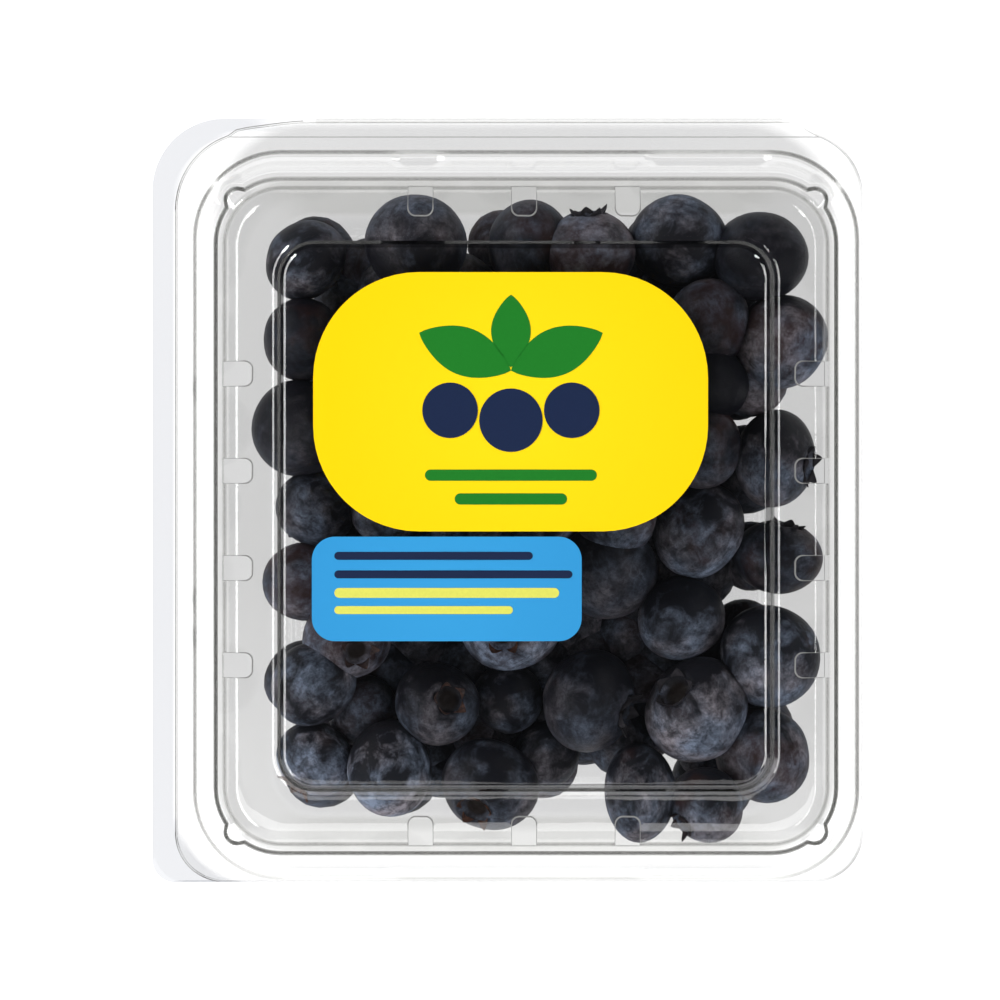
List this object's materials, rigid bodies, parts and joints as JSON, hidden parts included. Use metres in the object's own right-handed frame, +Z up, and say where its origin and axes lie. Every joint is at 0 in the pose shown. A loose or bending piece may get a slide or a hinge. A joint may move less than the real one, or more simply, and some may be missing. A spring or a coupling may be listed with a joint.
{
  "type": "punnet of blueberries",
  "caption": "Clear hinged clamshell punnet of blueberries, shut: tapered tray, vented snap lid with a raised panel, heaped dark berries and two plain colour stickers.",
  "frame": {"origin": "bottom centre of the whole shut punnet's box, on the surface that it stands on", "axes": "+X to the right as the lid is read, +Y back to the hinge, +Z up"},
  "size_m": [0.1084, 0.1166, 0.0362],
  "materials": {
    "clear_tray": "clear thin PET, thermoformed, glossy",
    "clear_lid": "clear thin PET, thermoformed, glossy",
    "berry_skin": "near-black blue fruit skin with a pale waxy bloom",
    "label_yellow": "printed sticker, satin, bright yellow",
    "label_blue": "printed sticker, satin, sky blue"
  },
  "bodies": {
    "tray": {"tray": "clear_tray", "berries": "berry_skin"},
    "lid": {"lid": "clear_lid", "label_main": "label_yellow", "label_small": "label_blue"}
  },
  "joints": [
    {"name": "lid_hinge", "type": "hinge", "parent": "tray", "child": "lid", "pos_m": [0.0025, 0.05833, 0.02575], "axis": [-1, 0, 0], "range_deg": [0, 180]}
  ]
}
